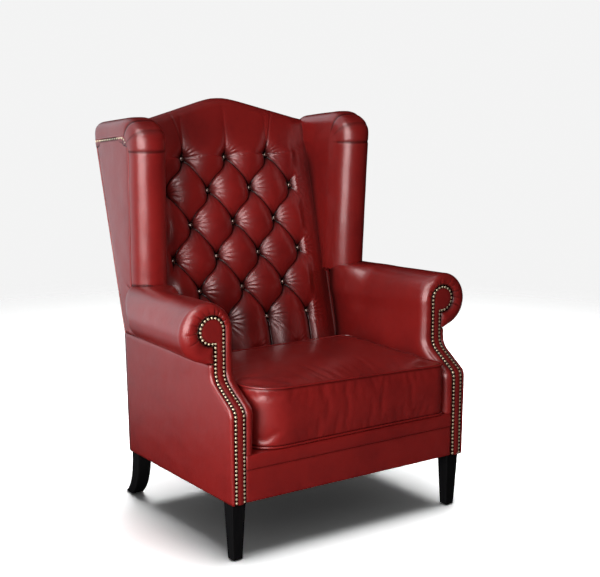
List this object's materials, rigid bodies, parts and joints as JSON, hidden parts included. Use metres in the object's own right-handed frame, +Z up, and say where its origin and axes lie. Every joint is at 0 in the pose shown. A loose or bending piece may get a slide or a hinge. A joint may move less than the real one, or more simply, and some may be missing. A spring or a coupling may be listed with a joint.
{
  "type": "winged armchair",
  "caption": "Winged armchair with a deep-buttoned leaning back, rolled arms with nailed keyhole fronts, a loose boxed cushion and dark tapered legs.",
  "frame": {"origin": "on the floor under the middle of the chair's outside box", "axes": "+Z up, the seat faces -Y, +X to the right of someone facing the chair"},
  "size_m": [0.9096, 0.711, 1.1199],
  "materials": {
    "antiqued_leather": "antiqued, waxed, soft gloss",
    "frame_timber": "planed, unfinished",
    "black_timber": "stained black, satin",
    "brass_nails": "aged, domed",
    "button_metal": "polished",
    "steel": "bright zinc",
    "webbing": "woven jute",
    "deck_felt": "felt and lining",
    "dust_cloth": "thin spun cloth",
    "foam": "open foam",
    "glide_plastic": "moulded"
  },
  "bodies": {
    "chair": {"arm_facing_right": "antiqued_leather", "arm_facing_left": "antiqued_leather", "arm_pad_right": "antiqued_leather", "arm_pad_left": "antiqued_leather", "arm_panel_right": "antiqued_leather", "arm_panel_left": "antiqued_leather", "arm_roll_right": "antiqued_leather", "arm_roll_left": "antiqued_leather", "wing_pad_right": "antiqued_leather", "wing_pad_left": "antiqued_leather", "wing_panel_right": "antiqued_leather", "wing_panel_left": "antiqued_leather", "wing_roll_right": "antiqued_leather", "wing_roll_left": "antiqued_leather", "tufted_back": "antiqued_leather", "outside_back": "antiqued_leather", "front_border": "antiqued_leather", "seat_lip": "antiqued_leather", "arm_rail_right": "frame_timber", "arm_rail_left": "frame_timber", "arm_stump_right": "frame_timber", "arm_stump_left": "frame_timber", "back_post_right": "frame_timber", "back_post_left": "frame_timber", "back_rail": "frame_timber", "front_rail": "frame_timber", "side_rail_right": "frame_timber", "side_rail_left": "frame_timber", "corner_blocks": "frame_timber", "crest_rail": "frame_timber", "lumbar_rail": "frame_timber", "wing_post_right": "frame_timber", "wing_post_left": "frame_timber", "wing_top_rail_right": "frame_timber", "wing_top_rail_left": "frame_timber", "front_leg_right": "black_timber", "front_leg_left": "black_timber", "back_leg_right": "black_timber", "back_leg_left": "black_timber", "facing_nails_right": "brass_nails", "facing_nails_left": "brass_nails", "wing_nails_right": "brass_nails", "wing_nails_left": "brass_nails", "back_buttons": "button_metal", "seat_springs": "steel", "spring_clips": "steel", "leg_bolts": "steel", "back_webbing": "webbing", "seat_deck": "deck_felt", "dust_cover": "dust_cloth", "glides": "glide_plastic"},
    "cushion": {"cushion_cover": "antiqued_leather", "cushion_core": "foam", "cushion_piping": "antiqued_leather"}
  },
  "joints": [
    {"name": "cushion_lift", "type": "slide", "parent": "chair", "child": "cushion", "axis": [0, -0.9063, 0.4226], "range_m": [0, 0.55]}
  ]
}
